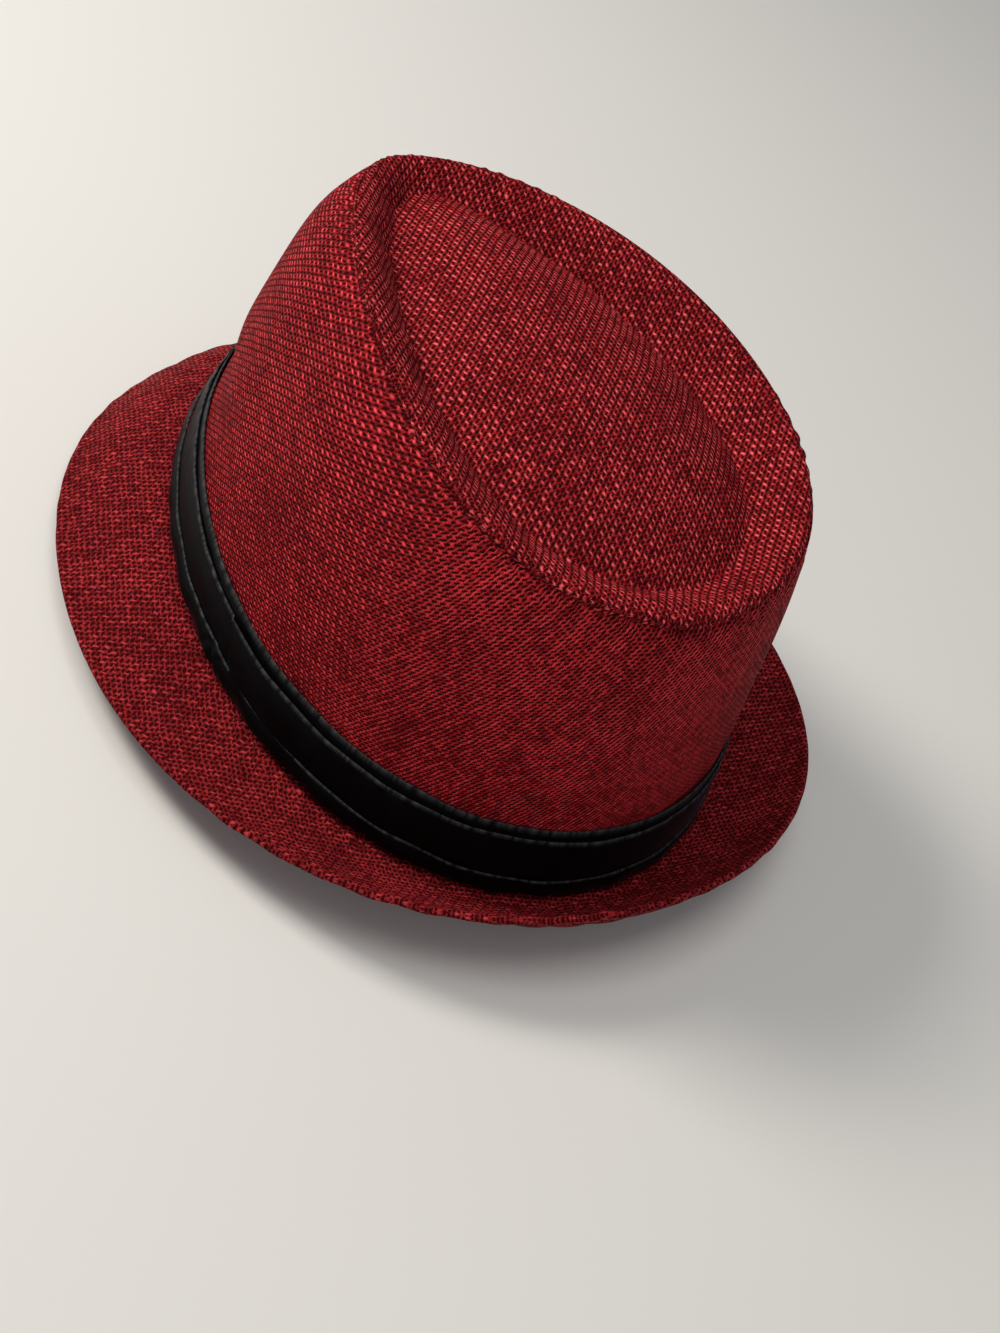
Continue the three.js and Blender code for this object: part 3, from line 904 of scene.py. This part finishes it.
def satin_material(name, shade):
    """Black satin: fine cross threads, a faint mottle in its gloss, a few specks of lint, and a painted
    highlight, a grey line in broken stretches, along the upper fold that the Fold field marks."""
    n = Nodes(name)
    along, up = n.cloth_place()
    place = n.point(along, up)
    mottle = n.noise(place, 0.12, 3, 0.6)
    threads = n.noise(n.point(n.math("MULTIPLY", along, 5.0), n.math("MULTIPLY", up, 0.6)), 1.0, 2)
    lint = n.math("GREATER_THAN", n.noise(place, 2.4, 1, 0.4), 0.865)
    deep = (shade * 0.6, shade * 0.7, shade * 0.8, 1)
    lit = (shade * 0.8, shade, shade * 1.2, 1)
    base = n.mix(n.span(mottle, 0.3, 0.7), deep, lit)
    fold = n.add("ShaderNodeAttribute", attribute_type="GEOMETRY", attribute_name="Fold").outputs["Fac"]
    # Painted highlight along the upper fold, in broken stretches of grey.
    painted_fold_highlight = n.math("MULTIPLY", fold, n.span(n.noise(n.point(along, 0.0), 0.42, 3, 0.6), 0.38, 0.62, 0.1, 0.85))
    base = n.mix(painted_fold_highlight, base, (0.075, 0.075, 0.080, 1))
    colour = n.mix(n.math("MULTIPLY", lint, 0.5), base, (0.3, 0.3, 0.3, 1))
    bump = n.add("ShaderNodeBump")
    bump.inputs["Strength"].default_value = 0.5
    bump.inputs["Distance"].default_value = 0.05 * MM
    n.put(bump.inputs["Height"], n.math("ADD", threads, n.math("MULTIPLY", mottle, 1.5)))
    shader = n.add("ShaderNodeBsdfPrincipled")
    n.put(shader.inputs["Base Color"], colour)
    n.put(shader.inputs["Roughness"], n.span(mottle, 0.3, 0.7, 0.36, 0.5))
    shader.inputs["Specular IOR Level"].default_value = 0.065
    shader.inputs["Sheen Weight"].default_value = 0.02
    shader.inputs["Sheen Roughness"].default_value = 0.35
    shader.inputs["Sheen Tint"].default_value = (0.7, 0.8, 1.0, 1)
    n.put(shader.inputs["Normal"], bump.outputs[0])
    output = n.add("ShaderNodeOutputMaterial")
    n.put(output.inputs["Surface"], shader.outputs[0])
    return n.material


def plain_material(name, colour, roughness):
    n = Nodes(name)
    shader = n.add("ShaderNodeBsdfPrincipled")
    shader.inputs["Base Color"].default_value = colour
    shader.inputs["Roughness"].default_value = roughness
    output = n.add("ShaderNodeOutputMaterial")
    n.put(output.inputs["Surface"], shader.outputs[0])
    return n.material


# ---------------------------------------------------------------- camera, floor and light

CAMERA_AZIMUTH = 123.44
CAMERA_ELEVATION = 41.29
CAMERA_ROLL = 31.77
CAMERA_DISTANCE = 0.4805
CAMERA_LENS = 48.61
AIM_FROM_MIDDLE = (0.0315, 0.0522, -0.0073)


def make_camera():
    azimuth, elevation, roll = (math.radians(v) for v in (CAMERA_AZIMUTH, CAMERA_ELEVATION, CAMERA_ROLL))
    back = np.array([
        math.cos(elevation) * math.sin(azimuth),
        -math.cos(elevation) * math.cos(azimuth),
        math.sin(elevation),
    ])
    level = unit(np.cross(-back, [0, 0, 1]))
    upright = np.cross(level, -back)
    right = math.cos(roll) * level + math.sin(roll) * upright
    up = math.cos(roll) * upright - math.sin(roll) * level
    middle = (np.array(cad_low) + np.array(cad_high)) / 2
    place = middle + AIM_FROM_MIDDLE + back * CAMERA_DISTANCE
    camera = bpy.data.objects.new("camera", bpy.data.cameras.new("camera"))
    bpy.context.scene.collection.objects.link(camera)
    matrix = np.eye(4)
    matrix[:3, :3] = np.stack([right, up, back], axis=1)
    matrix[:3, 3] = place
    camera.matrix_world = Matrix(matrix.tolist())
    camera.data.lens = CAMERA_LENS
    camera.data.sensor_width = 36
    camera.data.clip_start = 0.01
    camera.data.clip_end = 50
    bpy.context.scene.camera = camera


def make_floor():
    size = 6
    mesh = bpy.data.meshes.new("floor")
    corners = [(-size, -size, 0), (size, -size, 0), (size, size, 0), (-size, size, 0)]
    mesh.from_pydata(corners, [], [(0, 1, 2, 3)])
    floor = bpy.data.objects.new("floor", mesh)
    bpy.context.scene.collection.objects.link(floor)
    floor.data.materials.append(plain_material("pale_floor", (0.66, 0.65, 0.62, 1), 0.6))


def make_light(name, direction, distance, size, power, colour):
    light = bpy.data.lights.new(name, "AREA")
    light.size = size
    light.energy = power
    light.color = colour
    lamp = bpy.data.objects.new(name, light)
    bpy.context.scene.collection.objects.link(lamp)
    towards = unit(np.array(direction, float))
    lamp.location = towards * distance
    lamp.rotation_euler = Vector(towards).to_track_quat("Z", "Y").to_euler()


def make_lights():
    make_light("key", (0.42, -0.66, 0.68), 1.3, 0.40, 14, (1.0, 0.95, 0.88))
    make_light("overhead", (0.15, 0.0, 1.0), 1.5, 0.9, 8, (1.0, 0.97, 0.93))
    make_light("fill", (0.9, 0.8, 0.5), 1.8, 1.2, 5, (0.97, 0.98, 1.0))
    world = bpy.data.worlds.new("room")
    world.use_nodes = True
    world.node_tree.nodes["Background"].inputs["Color"].default_value = (0.9, 0.93, 1.0, 1)
    world.node_tree.nodes["Background"].inputs["Strength"].default_value = 0.26
    bpy.context.scene.world = world


make_camera()
make_floor()
make_lights()
bpy.context.scene.view_settings.view_transform = "Standard"

detail = 1.0
side_panel = make_side_panel(int(620 * detail))
tip_panel = make_tip_panel(int(600 * detail))
brim = make_brim(int(720 * detail))
backing, main_pleat, lower_pleat = make_ribbon(int(760 * detail))

side_panel.data.materials.append(straw_material("straw_side", 1.17, SIDE_LEVEL_PITCH, 0.7, 1.0, STRAW_LOOKS))
tip_panel.data.materials.append(straw_material("straw_tip", 1.75, 1.43, 0.6, 20.0, TIP_LOOKS))
brim.data.materials.append(straw_material("straw_brim", 1.5, 1.8, 0.8, 40.0, BRIM_LOOKS))
backing.data.materials.append(satin_material("satin_backing", 0.0013))
pleat_satin = satin_material("satin_pleats", 0.0016)
main_pleat.data.materials.append(pleat_satin)
lower_pleat.data.materials.append(pleat_satin)
